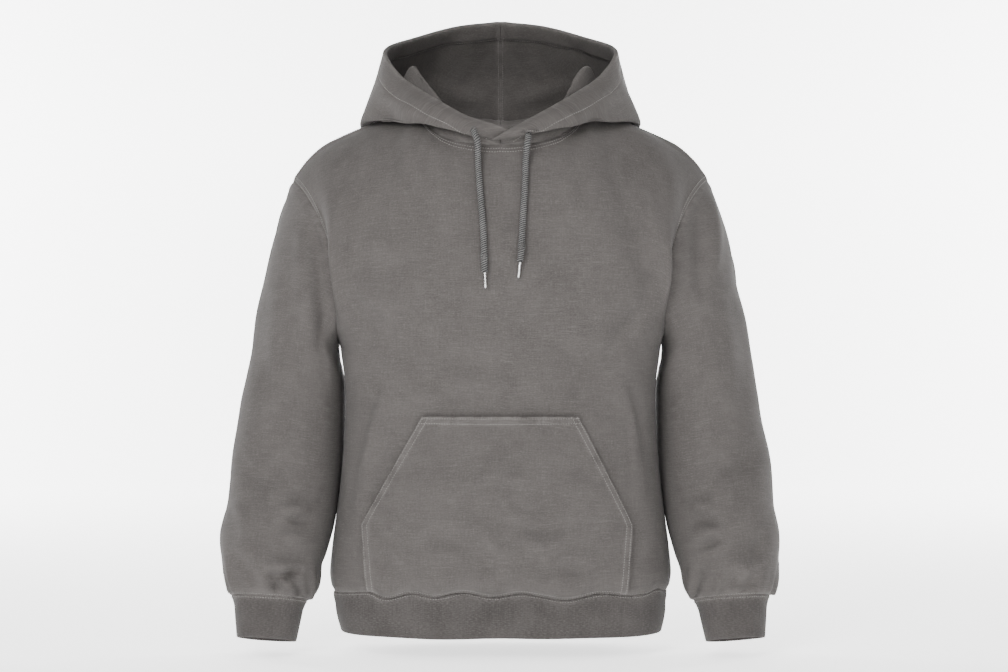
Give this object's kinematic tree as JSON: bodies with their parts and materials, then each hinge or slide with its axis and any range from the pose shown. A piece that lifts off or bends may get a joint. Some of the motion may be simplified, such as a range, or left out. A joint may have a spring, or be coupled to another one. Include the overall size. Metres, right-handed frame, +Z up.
{
  "type": "pullover hoodie",
  "caption": "Pullover hoodie with a lowered hood, kangaroo pocket, ribbed waistband and cuffs, and knotted drawcords, holding its worn shape with nobody in it.",
  "frame": {"origin": "the point that the shoulders hold: on the centre plane, at the height of the shoulder seams' inner ends, midway through the neck's depth", "axes": "+Z up, -Y the way the front faces, +X the wearer's left"},
  "size_m": [0.735, 0.3438, 0.8383],
  "materials": {
    "fleece": "garment-washed warm grey sweatshirt fleece",
    "rib": "washed warm grey rib knit",
    "tape": "light grey woven tape",
    "cord": "light and dark grey braided cord",
    "metal": "plain silver-coloured cord tip"
  },
  "bodies": {
    "root": {"front_panel": "fleece", "back_panel": "fleece", "sleeve_left": "fleece", "sleeve_right": "fleece", "hood_left": "fleece", "hood_right": "fleece", "pocket": "fleece", "waistband": "rib", "cuff_left": "rib", "cuff_right": "rib", "neck_tape": "tape", "drawcord_left": "cord", "drawcord_right": "cord", "knot_left": "cord", "knot_right": "cord", "tip_left": "metal", "tip_right": "metal"}
  },
  "joints": []
}
